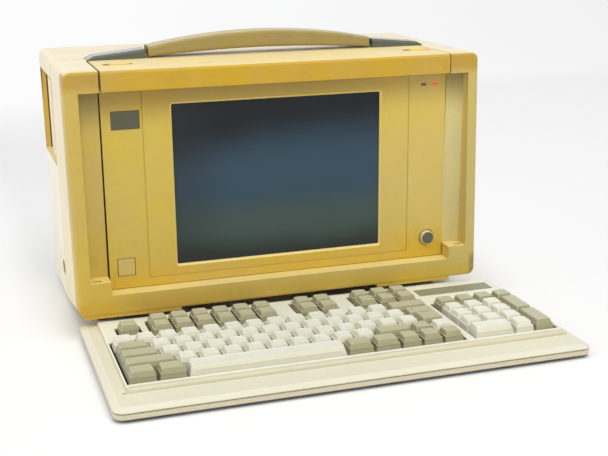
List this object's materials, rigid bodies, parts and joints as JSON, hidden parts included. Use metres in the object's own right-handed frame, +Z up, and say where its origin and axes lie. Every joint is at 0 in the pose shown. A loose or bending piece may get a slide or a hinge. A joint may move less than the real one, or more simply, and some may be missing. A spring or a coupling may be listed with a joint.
{
  "type": "vintage luggable computer",
  "caption": "Briefcase-sized portable computer with a carrying handle, a tilting flat display unit and a separate full-size keyboard in front of it.",
  "frame": {"origin": "bottom centre of the whole object's bounding box, on the table", "axes": "+Z up, +Y towards the back of the case, +X to the right seen from the front"},
  "size_m": [0.4032, 0.4062, 0.2596],
  "materials": {
    "case_plastic": "aged pale cream plastic with a fine texture",
    "panel_plastic": "yellowed panel plastic",
    "handle_plastic": "olive beige grip plastic",
    "handle_end_plastic": "blue grey plastic",
    "latch_plastic": "yellowed finger pads",
    "keyboard_plastic": "warm ivory plastic",
    "white_key_plastic": "off-white keycap plastic",
    "grey_key_plastic": "olive grey keycap plastic",
    "label_grey": "bare grey plate",
    "badge_dark": "bare dark plate",
    "screen_glass": "unlit blue grey screen",
    "indicator_red": "lit red lens",
    "indicator_dark": "unlit lens",
    "button_grey": "grey button",
    "collar_cream": "cream ring",
    "dark_plastic": "black moulding",
    "rubber": "black rubber",
    "steel": "zinc-plated sheet",
    "board_green": "green circuit board",
    "drive_metal": "cast drive body",
    "tube_glass": "clear tube"
  },
  "bodies": {
    "case": {"front_housing": "case_plastic", "rear_housing": "case_plastic", "side_cover_left": "case_plastic", "rear_panel": "steel", "case_screws": "steel", "rubber_feet": "rubber", "handle_end_left": "handle_end_plastic", "handle_end_right": "handle_end_plastic", "hinge_pins": "steel", "chassis_tray": "steel", "motherboard": "board_green", "expansion_cards": "board_green", "slot_covers": "steel", "port_connectors": "steel", "power_inlet_and_switch_frame": "dark_plastic", "power_supply": "steel", "fan_frame": "dark_plastic", "drive_shelf": "steel", "floppy_drive": "panel_plastic", "hard_drive": "drive_metal", "speaker": "dark_plastic"},
    "display": {"display_cap": "case_plastic", "display_bezel": "panel_plastic", "display_back_shell": "panel_plastic", "button_collar": "collar_cream", "badge_plate": "badge_dark", "indicator_dark": "indicator_dark", "indicator_red": "indicator_red", "lcd_frame": "steel", "lcd_glass": "screen_glass", "backlight_tube": "tube_glass", "inverter_board": "board_green"},
    "handle": {"handle_grip": "handle_plastic"},
    "latch_left": {"latch_slider_left": "latch_plastic"},
    "latch_right": {"latch_slider_right": "latch_plastic"},
    "square_push": {"square_button": "panel_plastic"},
    "round_push": {"round_button": "button_grey"},
    "mains_rocker": {"power_switch_rocker": "dark_plastic"},
    "fan": {"fan_rotor": "dark_plastic"},
    "eject": {"floppy_eject_button": "panel_plastic"},
    "keyboard": {"keyboard_top_shell": "keyboard_plastic", "keyboard_bottom_shell": "keyboard_plastic", "keyboard_circuit_board": "board_green", "keyboard_label_plate": "label_grey", "keyboard_feet": "rubber"},
    "key_escape_body": {"key_escape": "grey_key_plastic"},
    "keys_function_left_body": {"keys_function_left": "grey_key_plastic"},
    "keys_function_right_body": {"keys_function_right": "grey_key_plastic"},
    "keys_number_row_body": {"keys_number_row": "white_key_plastic"},
    "key_backspace_body": {"key_backspace": "grey_key_plastic"},
    "keys_upper_row_body": {"keys_upper_row": "white_key_plastic"},
    "keys_home_row_body": {"keys_home_row": "white_key_plastic"},
    "key_enter_body": {"key_enter": "grey_key_plastic"},
    "keys_shift_body": {"keys_shift": "grey_key_plastic"},
    "keys_lower_row_body": {"keys_lower_row": "white_key_plastic"},
    "keys_control_body": {"keys_control": "grey_key_plastic"},
    "key_space_body": {"key_space": "white_key_plastic"},
    "keys_arrow_body": {"keys_arrow": "grey_key_plastic"},
    "keys_pad_digits_body": {"keys_pad_digits": "white_key_plastic"},
    "keys_pad_grey_body": {"keys_pad_grey": "grey_key_plastic"}
  },
  "joints": [
    {"name": "display_tilt", "type": "hinge", "parent": "case", "child": "display", "pos_m": [-0.00948, 0.0676, 0.2353], "axis": [-1, 0, 0], "range_deg": [0, 20]},
    {"name": "handle_lift", "type": "slide", "parent": "case", "child": "handle", "axis": [0, 0, 1], "range_m": [0, 0.003]},
    {"name": "latch_left_slide", "type": "slide", "parent": "display", "child": "latch_left", "axis": [-1, 0, 0], "range_m": [0, 0.0045], "stiffness_N_per_m": 300, "springref_m": -0.004},
    {"name": "latch_right_slide", "type": "slide", "parent": "display", "child": "latch_right", "axis": [-1, 0, 0], "range_m": [0, 0.0045], "stiffness_N_per_m": 300, "springref_m": -0.004},
    {"name": "square_button_push", "type": "slide", "parent": "display", "child": "square_push", "axis": [0, 0.9994, 0.0351], "range_m": [0, 0.002], "stiffness_N_per_m": 400, "springref_m": -0.002},
    {"name": "round_button_push", "type": "slide", "parent": "display", "child": "round_push", "axis": [0, 0.9994, 0.0351], "range_m": [0, 0.0025], "stiffness_N_per_m": 400, "springref_m": -0.002},
    {"name": "mains_rocker_turn", "type": "hinge", "parent": "case", "child": "mains_rocker", "pos_m": [0.12312, 0.1981, 0.047], "axis": [0, 0, 1], "range_deg": [0, 10]},
    {"name": "fan_spin", "type": "hinge", "parent": "case", "child": "fan", "pos_m": [0.10812, 0.1861, 0.15], "axis": [0, 1, 0], "continuous": true},
    {"name": "eject_push", "type": "slide", "parent": "case", "child": "eject", "axis": [-1, 0, 0], "range_m": [0, 0.002], "stiffness_N_per_m": 300, "springref_m": -0.002},
    {"name": "keyboard_lift_away", "type": "slide", "parent": "case", "child": "keyboard", "axis": [0, -1, 0], "range_m": [0, 0.12]},
    {"name": "key_escape_press", "type": "slide", "parent": "keyboard", "child": "key_escape_body", "axis": [0, 0, -1], "range_m": [0, 0.0034], "stiffness_N_per_m": 150, "springref_m": -0.003},
    {"name": "keys_function_left_press", "type": "slide", "parent": "keyboard", "child": "keys_function_left_body", "axis": [0, 0, -1], "range_m": [0, 0.0034], "stiffness_N_per_m": 1800, "springref_m": -0.003},
    {"name": "keys_function_right_press", "type": "slide", "parent": "keyboard", "child": "keys_function_right_body", "axis": [0, 0, -1], "range_m": [0, 0.0034], "stiffness_N_per_m": 1500, "springref_m": -0.003},
    {"name": "keys_number_row_press", "type": "slide", "parent": "keyboard", "child": "keys_number_row_body", "axis": [0, 0, -1], "range_m": [0, 0.0034], "stiffness_N_per_m": 1950, "springref_m": -0.003},
    {"name": "key_backspace_press", "type": "slide", "parent": "keyboard", "child": "key_backspace_body", "axis": [0, 0, -1], "range_m": [0, 0.0034], "stiffness_N_per_m": 150, "springref_m": -0.003},
    {"name": "keys_upper_row_press", "type": "slide", "parent": "keyboard", "child": "keys_upper_row_body", "axis": [0, 0, -1], "range_m": [0, 0.0034], "stiffness_N_per_m": 1800, "springref_m": -0.003},
    {"name": "keys_home_row_press", "type": "slide", "parent": "keyboard", "child": "keys_home_row_body", "axis": [0, 0, -1], "range_m": [0, 0.0034], "stiffness_N_per_m": 1800, "springref_m": -0.003},
    {"name": "key_enter_press", "type": "slide", "parent": "keyboard", "child": "key_enter_body", "axis": [0, 0, -1], "range_m": [0, 0.0034], "stiffness_N_per_m": 150, "springref_m": -0.003},
    {"name": "keys_shift_press", "type": "slide", "parent": "keyboard", "child": "keys_shift_body", "axis": [0, 0, -1], "range_m": [0, 0.0034], "stiffness_N_per_m": 300, "springref_m": -0.003},
    {"name": "keys_lower_row_press", "type": "slide", "parent": "keyboard", "child": "keys_lower_row_body", "axis": [0, 0, -1], "range_m": [0, 0.0034], "stiffness_N_per_m": 1500, "springref_m": -0.003},
    {"name": "keys_control_press", "type": "slide", "parent": "keyboard", "child": "keys_control_body", "axis": [0, 0, -1], "range_m": [0, 0.0034], "stiffness_N_per_m": 900, "springref_m": -0.003},
    {"name": "key_space_press", "type": "slide", "parent": "keyboard", "child": "key_space_body", "axis": [0, 0, -1], "range_m": [0, 0.0034], "stiffness_N_per_m": 150, "springref_m": -0.003},
    {"name": "keys_arrow_press", "type": "slide", "parent": "keyboard", "child": "keys_arrow_body", "axis": [0, 0, -1], "range_m": [0, 0.0034], "stiffness_N_per_m": 600, "springref_m": -0.003},
    {"name": "keys_pad_digits_press", "type": "slide", "parent": "keyboard", "child": "keys_pad_digits_body", "axis": [0, 0, -1], "range_m": [0, 0.0034], "stiffness_N_per_m": 1650, "springref_m": -0.003},
    {"name": "keys_pad_grey_press", "type": "slide", "parent": "keyboard", "child": "keys_pad_grey_body", "axis": [0, 0, -1], "range_m": [0, 0.0034], "stiffness_N_per_m": 900, "springref_m": -0.003}
  ]
}
